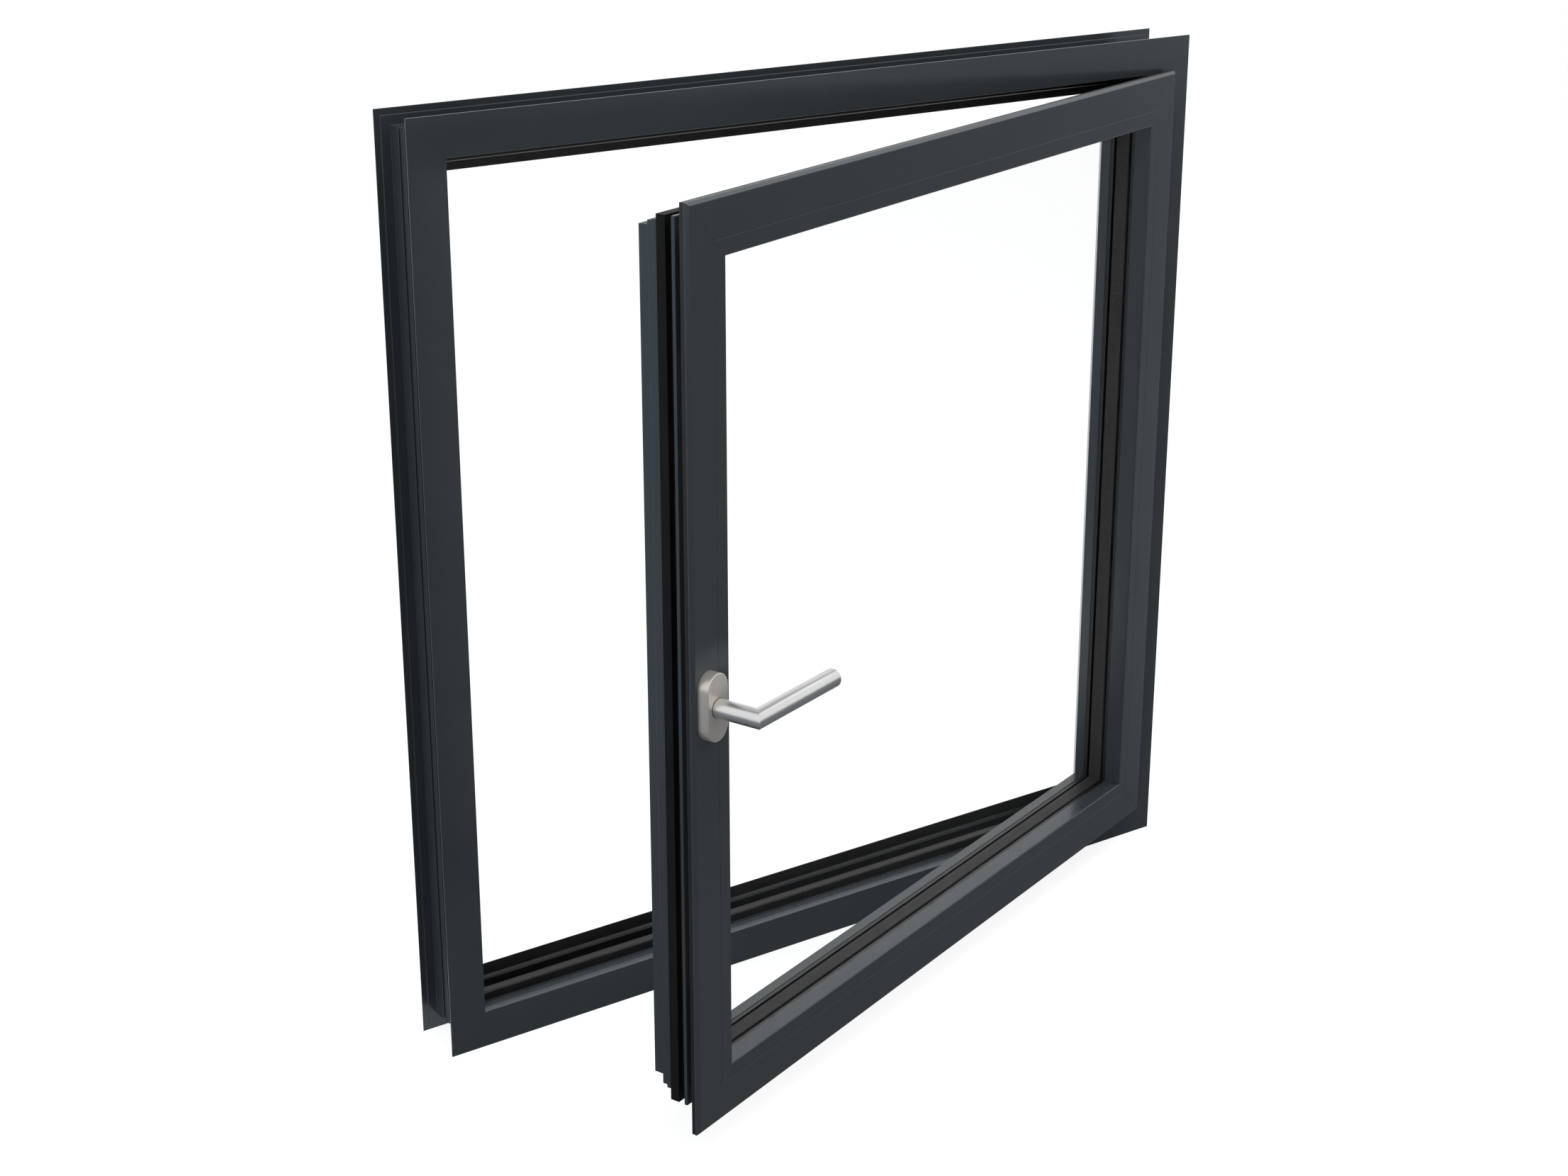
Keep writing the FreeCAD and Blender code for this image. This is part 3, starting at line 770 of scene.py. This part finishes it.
def punched_rows() -> bpy.types.NodeTree:
    """Geometry tree of two rows of small rims round the inside of a rectangle, facing its middle.

    Returns:
        The tree. X and Y lie in the rectangle, Z across the bar.
    """
    number = "NodeSocketFloat"
    names = ("Width", "Height", "Pitch", "Row Gap", "Hole Radius", "Hole Rise", "Corner Margin")
    inputs = {name: number for name in names} | {"Material": "NodeSocketMaterial"}
    tree = group_tree("punched_rows", "GeometryNodeTree", inputs, {"Geometry": "NodeSocketGeometry"})
    wiring = Wiring(tree)
    given = wiring.add("NodeGroupInput").outputs

    def sum_of(first: Any, second: Any, operation: str) -> bpy.types.NodeSocket:
        """Join two numbers by one operation."""
        return wiring.add("ShaderNodeMath", {0: first, 1: second}, operation=operation).outputs[0]

    def across(x: Any = 0.0, y: Any = 0.0, z: Any = 0.0) -> bpy.types.NodeSocket:
        """Vector from three numbers or sockets."""
        return wiring.add("ShaderNodeCombineXYZ", {0: x, 1: y, 2: z}).outputs[0]

    rim = wiring.add("GeometryNodeMeshCylinder", {
        "Vertices": PUNCH_SIDES, "Radius": given["Hole Radius"], "Depth": given["Hole Rise"],
    })
    upright = wiring.add("GeometryNodeTransform", {
        "Geometry": rim.outputs["Mesh"], "Rotation": (math.pi / 2, 0, 0),
    })
    half_gap = sum_of(given["Row Gap"], 0.5, "MULTIPLY")
    runs = []
    for run, apart in (("Width", "Height"), ("Height", "Width")):
        half_run = sum_of(sum_of(given[run], 0.5, "MULTIPLY"), given["Corner Margin"], "SUBTRACT")
        line = wiring.add("GeometryNodeCurvePrimitiveLine", {
            "Start": across(x=sum_of(half_run, -1.0, "MULTIPLY")), "End": across(x=half_run),
        })
        spots = wiring.add("GeometryNodeResampleCurve", {
            "Curve": line.outputs["Curve"], "Length": given["Pitch"],
        }, mode="LENGTH")
        row = wiring.add("GeometryNodeInstanceOnPoints", {
            "Points": spots.outputs["Curve"], "Instance": upright.outputs["Geometry"],
        })
        pair = wiring.add("GeometryNodeJoinGeometry")
        for sign in (-1.0, 1.0):
            moved = wiring.add("GeometryNodeTransform", {
                "Geometry": row.outputs["Instances"],
                "Translation": across(z=sum_of(half_gap, sign, "MULTIPLY")),
            })
            tree.links.new(moved.outputs["Geometry"], pair.inputs[0])
        half_apart = sum_of(given[apart], -0.5, "MULTIPLY")
        set_off = wiring.add("GeometryNodeTransform", {
            "Geometry": pair.outputs[0], "Translation": across(y=half_apart),
        })
        quarter = 0.0 if run == "Width" else math.pi / 2
        for turn in (quarter, quarter + math.pi):
            turned = wiring.add("GeometryNodeTransform", {
                "Geometry": set_off.outputs["Geometry"], "Rotation": (0, 0, turn),
            })
            runs.append(turned.outputs["Geometry"])
    everything = wiring.add("GeometryNodeJoinGeometry")
    for run_geometry in runs:
        tree.links.new(run_geometry, everything.inputs[0])
    realized = wiring.add("GeometryNodeRealizeInstances", {"Geometry": everything.outputs[0]})
    dressed = wiring.add("GeometryNodeSetMaterial", {
        "Geometry": realized.outputs["Geometry"], "Material": given["Material"],
    })
    wiring.add("NodeGroupOutput", {"Geometry": dressed.outputs["Geometry"]})
    return tree


@dataclass
class Handle:
    """Oval rosette, a thin black ring of painted shade round the neck, and the round bar lever."""

    segments: int = 72
    rosette_edge: float = 1.2 * MM
    rosette_steps: int = 6
    tip_edge: float = 0.8 * MM
    tip_steps: int = 5
    shade_ring_width: float = 0.8 * MM
    shade_ring_rise: float = 0.22 * MM

    def build(self) -> None:
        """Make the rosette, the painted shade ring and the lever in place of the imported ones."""
        self.rosette()
        # Painted shade: a black ring in place of the shaded gap round the lever's neck.
        self.shade_ring()
        self.lever()

    def rosette(self) -> bpy.types.Object:
        """Make the oval plate with its softened front edge.

        Returns:
            The finished piece.
        """
        place = LocalFrame.of_handle()
        left, right = reach("handle_rosette", place.origin, place.along)
        low, high = reach("handle_rosette", place.origin, UP)
        front, back = reach("handle_rosette", place.origin, place.out)
        radius = (right - left) / 2
        rise = (high - low) / 2 - radius
        edge = self.rosette_edge
        levels = [(0.0, back), (0.0, front + edge)]
        levels += [(inset, front + below) for inset, below in quarter_round(edge, self.rosette_steps)]
        rings = [self.oval(radius - inset, rise, depth) for inset, depth in levels]
        shape = bmesh.new()
        lofted(shape, rings)
        return self.placed(shape, place, "rosette_plate", Body.SASH, ROSETTE_SATIN, "handle_rosette")

    def oval(self, radius: float, rise: float, depth: float) -> list[Vector]:
        """Points of an upright oval with straight sides, (along, up, out).

        Args:
            radius: Radius of both ends.
            rise: Half of the straight length.
            depth: Distance out from the sash face.

        Returns:
            The points in order.
        """
        half = self.segments // 2
        points = []
        for end, start in ((1.0, 0.0), (-1.0, math.pi)):
            for step in range(half + 1):
                angle = start + math.pi * step / half
                height = end * rise + radius * math.sin(angle)
                points.append(Vector((radius * math.cos(angle), height, depth)))
        return points

    def shade_ring(self) -> bpy.types.Object:
        """Make the thin black ring of painted shade that stands for the shaded gap between the rosette and
        the lever's neck.

        Returns:
            The finished piece.
        """
        place = LocalFrame.of_handle()
        front = reach("handle_rosette", place.origin, place.out)[0]
        inner = self.lever_radius(place)
        outer = inner + self.shade_ring_width / 2
        hole = inner - self.shade_ring_width
        top = front - self.shade_ring_rise
        levels = [(hole, front), (outer, front), (outer, top), (hole, top)]
        rings = [self.circle(radius, depth) for radius, depth in levels]
        shape = bmesh.new()
        lofted(shape, rings + rings[:1], capped=False)
        return self.placed(shape, place, "neck_gap_shade", Body.SASH, GAP_SHADE_RING)

    def circle(self, radius: float, depth: float) -> list[Vector]:
        """Points of a circle round the lever's axis.

        Args:
            radius: Its radius.
            depth: Distance out from the sash face.

        Returns:
            The points in order.
        """
        angles = [2 * math.pi / self.segments * step for step in range(self.segments)]
        return [Vector((radius * math.cos(angle), radius * math.sin(angle), depth)) for angle in angles]

    def lever_radius(self, place: LocalFrame) -> float:
        """Radius of the round bar, read from its height."""
        low, high = reach("handle_lever", place.origin, UP)
        return (high - low) / 2

    def lever(self) -> bpy.types.Object:
        """Make the neck, the mitred corner and the grip with its softened end.

        Returns:
            The finished piece.
        """
        place = LocalFrame.of_handle()
        radius = self.lever_radius(place)
        far, near = reach("handle_lever", place.origin, place.out)
        tip = reach("handle_lever", place.origin, place.along)[1]
        grip_depth = far + radius
        neck = self.circle(radius, near)
        mitre = [Vector((spot.x, spot.y, grip_depth + spot.x)) for spot in neck]
        rings = [neck, mitre]
        levels = [(0.0, tip - self.tip_edge)]
        levels += [(inset, tip - below) for inset, below in quarter_round(self.tip_edge, self.tip_steps)]
        for inset, along in levels:
            share = (radius - inset) / radius
            rings.append([Vector((along, spot.y * share, grip_depth + spot.x * share)) for spot in neck])
        shape = bmesh.new()
        lofted(shape, rings)
        self.map_lines(shape, rings)
        return self.placed(shape, place, "lever_bar", Body.HANDLE, LEVER_STEEL, "handle_lever")

    def map_lines(self, shape: bmesh.types.BMesh, rings: list[list[Vector]]) -> None:
        """Lay a map on the lever, around it and along it in metres, so that brushed lines follow the bar.

        Args:
            shape: The lofted lever, its corners in the order of the rings.
            rings: The rings that it was lofted from.
        """
        layer = shape.loops.layers.uv.new("brush_map")
        count = self.segments
        radius = rings[0][0].x
        spots = {}
        for index, corner in enumerate(shape.verts):
            ring, step = divmod(index, count)
            passed = rings[:ring + 1]
            along = sum((second[step] - first[step]).length for first, second in zip(passed, passed[1:]))
            spots[corner.index] = (radius * 2 * math.pi * step / count, along)
        for face in shape.faces:
            steps = [spots[loop.vert.index][0] for loop in face.loops]
            for loop in face.loops:
                around, along = spots[loop.vert.index]
                wraps = around == 0.0 and max(steps) > math.pi * radius
                loop[layer].uv = (around + (2 * math.pi * radius if wraps else 0.0), along)

    def placed(
        self, shape: bmesh.types.BMesh, place: LocalFrame, name: str,
        body: Body, finish: Finish, *nodes: str,
    ) -> bpy.types.Object:
        """Take a shape from (along, up, out) to the model's frame and finish it.

        Args:
            shape: The shape, freed here.
            place: Where it stands.
            name: Name of the piece.
            body: Body that it moves with.
            finish: Its surface.
            nodes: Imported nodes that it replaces.

        Returns:
            The finished piece.
        """
        bmesh.ops.transform(shape, matrix=place.matrix(), verts=shape.verts)
        bmesh.ops.recalc_face_normals(shape, faces=shape.faces)
        mesh = bpy.data.meshes.new(name)
        shape.to_mesh(mesh)
        shape.free()
        mesh.shade_smooth()
        mesh.set_sharp_from_angle(angle=SMOOTH_ANGLE)
        return finished(linked(mesh, name), body, finish, nodes)


def quarter_round(edge: float, steps: int) -> list[Span]:
    """Steps of a rounded edge, from its side to its face.

    Args:
        edge: Radius of the rounding.
        steps: Number of steps.

    Returns:
        For each step, how far it is drawn in from the side and how far it lies below the face.
    """
    angles = [math.pi / 2 * step / steps for step in range(1, steps + 1)]
    return [(edge * (1 - math.cos(angle)), edge * (1 - math.sin(angle))) for angle in angles]


def lofted(shape: bmesh.types.BMesh, rings: Sequence[Sequence[Vector]], capped: bool = True) -> None:
    """Skin a row of rings that have the same number of points.

    Args:
        shape: Mesh that gets the faces.
        rings: Points of each ring, in order.
        capped: Whether the first and last rings are closed; if not, equal end rings are welded.
    """
    corners = [[shape.verts.new(point) for point in ring] for ring in rings]
    count = len(corners[0])
    for first, second in zip(corners, corners[1:]):
        for i in range(count):
            j = (i + 1) % count
            shape.faces.new((first[i], first[j], second[j], second[i]))
    if capped:
        shape.faces.new(reversed(corners[0]))
        shape.faces.new(corners[-1])
    else:
        bmesh.ops.remove_doubles(shape, verts=shape.verts, dist=MERGE_DISTANCE)
    shape.verts.index_update()


@dataclass
class ConcealedGear:
    """Hinge arms, pins, tilt bracket, stay and drive rod, mostly hidden in the grooves."""

    edge: float = 0.3 * MM
    nodes: tuple[str, ...] = (
        "hinge_pin_lower", "hinge_pin_upper", "hinge_arm", "stay_arm", "tilt_bracket", "drive_rod",
    )

    def build(self) -> None:
        """Dress every piece of the gear."""
        for node in self.nodes:
            softened(node, GEAR_STEEL, self.edge)


@dataclass(frozen=True)
class Softbox:
    """One square or oblong studio lamp."""

    name: str
    place: Point
    target: Point
    size: Span
    power: float
    colour: Colour = (1.0, 1.0, 1.0)

    def build(self) -> bpy.types.Object:
        """Hang the lamp so that it points at its target.

        Returns:
            The lamp.
        """
        light = bpy.data.lights.new(self.name, "AREA")
        light.shape = "RECTANGLE"
        light.size, light.size_y = self.size
        light.energy = self.power
        light.color = self.colour
        lamp = bpy.data.objects.new(self.name, light)
        bpy.context.scene.collection.objects.link(lamp)
        lamp.location = self.place
        lamp.rotation_euler = (Vector(self.target) - Vector(self.place)).to_track_quat("-Z", "Y").to_euler()
        lamp.visible_camera = False
        lamp.visible_glossy = False
        lamp.visible_transmission = False
        return lamp


@dataclass(frozen=True)
class GlossCard:
    """A level card that only shows in gloss: dim as the unlit part of a studio, or bright as a lamp."""

    name: str
    across: Span
    depth: Span
    level: float
    tone: Colour

    def build(self) -> bpy.types.Object:
        """Lay the card.

        Returns:
            The card.
        """
        left, right = self.across
        near, far = self.depth
        outline = [(left, near), (right, near), (right, far), (left, far)]
        mesh = bpy.data.meshes.new(self.name)
        mesh.from_pydata([(x, y, self.level) for x, y in outline], [], [range(len(outline))])
        card = linked(mesh, self.name)
        paint = bpy.data.materials.new(self.name)
        paint.use_nodes = True
        wiring = Wiring(paint.node_tree)
        glow = wiring.add("ShaderNodeEmission", {"Color": (*self.tone, 1), "Strength": 1.0})
        clear = wiring.add("ShaderNodeBsdfTransparent")
        depth = wiring.add("ShaderNodeLightPath").outputs["Glossy Depth"]
        gloss = wiring.add("ShaderNodeMath", {0: depth, 1: 1.0}, operation="MINIMUM")
        seen = wiring.add("ShaderNodeMixShader", {
            0: gloss.outputs[0], 1: clear.outputs["BSDF"], 2: glow.outputs["Emission"],
        })
        wiring.add("ShaderNodeOutputMaterial", {"Surface": seen.outputs["Shader"]})
        mesh.materials.append(paint)
        card.visible_camera = False
        card.visible_diffuse = False
        card.visible_shadow = False
        return card


@dataclass
class Studio:
    """White studio: floor, background, lamps and camera."""

    floor_span: float = 60.0
    floor_cells: int = 8
    floor_gap: float = 0.2 * MM
    floor_white: float = 0.88
    floor_shade: float = 0.24
    floor_matt: float = 0.55
    ambient: float = 0.5
    camera_place: Point = (-1.57174, -2.16066, 1.38074)
    camera_turn: Point = (70.0, 0.0, -35.0)
    lens: float = 58.19
    sensor: float = 36.0

    def build(self) -> None:
        """Set the floor, the background, the lamps and the camera."""
        bpy.context.scene.view_settings.view_transform = "Standard"
        self.floor()
        self.background()
        self.camera()
        for item in LAMPS + CARDS:
            item.build()

    def seen_white(self, wiring: Wiring) -> bpy.types.NodeSocket:
        """Mask of the rays that see the white background: from the camera, in gloss and through glass.

        Args:
            wiring: Tree of the floor or of the background.

        Returns:
            The mask socket.
        """
        path = wiring.add("ShaderNodeLightPath").outputs
        seen = path["Is Camera Ray"]
        for kind in ("Is Glossy Ray", "Is Transmission Ray"):
            seen = wiring.add("ShaderNodeMath", {0: seen, 1: path[kind]}, operation="MAXIMUM").outputs[0]
        return seen

    def floor(self) -> bpy.types.Object:
        """Lay the pale floor under the frame.

        Returns:
            The floor.
        """
        shape = bmesh.new()
        cells = self.floor_cells
        bmesh.ops.create_grid(shape, x_segments=cells, y_segments=cells, size=self.floor_span / 2)
        bmesh.ops.translate(shape, vec=(0, 0, CAD_BOX[0][2] - self.floor_gap), verts=shape.verts)
        mesh = bpy.data.meshes.new("studio_floor")
        shape.to_mesh(mesh)
        shape.free()
        floor = linked(mesh, "studio_floor")
        paint = bpy.data.materials.new("studio_floor")
        paint.use_nodes = True
        wiring = Wiring(paint.node_tree)
        matt = wiring.add("ShaderNodeBsdfDiffuse", {"Color": (*[self.floor_matt] * 3, 1)})
        shade = wiring.add("ShaderNodeBsdfDiffuse", {"Color": (*[self.floor_shade] * 3, 1)})
        white = wiring.add("ShaderNodeEmission", {"Color": WHITE, "Strength": self.floor_white})
        seen = wiring.add("ShaderNodeAddShader", {0: shade.outputs["BSDF"], 1: white.outputs["Emission"]})
        mixed = wiring.add("ShaderNodeMixShader", {
            0: self.seen_white(wiring), 1: matt.outputs["BSDF"], 2: seen.outputs["Shader"],
        })
        wiring.add("ShaderNodeOutputMaterial", {"Surface": mixed.outputs["Shader"]})
        mesh.materials.append(paint)
        return floor

    def background(self) -> None:
        """Light the room softly all round, and show white where it is seen."""
        world = bpy.data.worlds.new("studio")
        world.use_nodes = True
        bpy.context.scene.world = world
        wiring = Wiring(world.node_tree)
        soft = wiring.add("ShaderNodeBackground", {"Color": WHITE, "Strength": self.ambient})
        white = wiring.add("ShaderNodeBackground", {"Color": WHITE, "Strength": 1.0})
        mixed = wiring.add("ShaderNodeMixShader", {
            0: self.seen_white(wiring), 1: soft.outputs["Background"], 2: white.outputs["Background"],
        })
        wiring.add("ShaderNodeOutputWorld", {"Surface": mixed.outputs["Shader"]})

    def camera(self) -> None:
        """Stand the camera where the photograph was taken from."""
        lens = bpy.data.cameras.new("camera")
        lens.lens = self.lens
        lens.sensor_width = self.sensor
        lens.sensor_fit = "HORIZONTAL"
        camera = bpy.data.objects.new("camera", lens)
        bpy.context.scene.collection.objects.link(camera)
        camera.location = self.camera_place
        camera.rotation_euler = [math.radians(angle) for angle in self.camera_turn]
        bpy.context.scene.camera = camera


LAMPS = (
    Softbox("overhead", (-0.6, -1.2, 3.4), (0.0, -0.1, 0.5), (2.6, 1.8), 30.0),
    Softbox("room_cool", (-2.4, -2.3, 2.3), (-0.4, 0.0, 0.9), (1.2, 1.2), 10.0, (0.62, 0.82, 1.0)),
    Softbox("left_cool", (-3.4, 0.4, 1.4), (0.0, 0.0, 0.5), (2.4, 2.8), 30.0, (0.78, 0.89, 1.0)),
    Softbox("right_high", (2.1, -0.7, 2.9), (0.0, -0.1, 0.7), (1.7, 1.1), 35.0),
)
CARDS = (
    GlossCard("room_card", (-4.0, 14.0), (-5.0, 0.0), CARD_LEVEL, (0.160, 0.172, 0.184)),
    GlossCard("left_card", (-6.0, -0.6), (0.0, 3.0), CARD_LEVEL, (0.36, 0.39, 0.44)),
    GlossCard("ceiling_card", (0.8, 4.0), (-0.15, 0.75), 2.9, (1.42, 1.42, 1.40)),
)


def main() -> None:
    """Build the window piece by piece, then the studio."""
    logging.basicConfig(level=logging.INFO, format="%(name)s: %(message)s")
    for assembly in (FixedFrame(), Sash(), Glazing(), Handle(), ConcealedGear(), Studio()):
        assembly.build()
        log.info("%s is done", type(assembly).__name__)


if __name__ == "__main__":
    main()
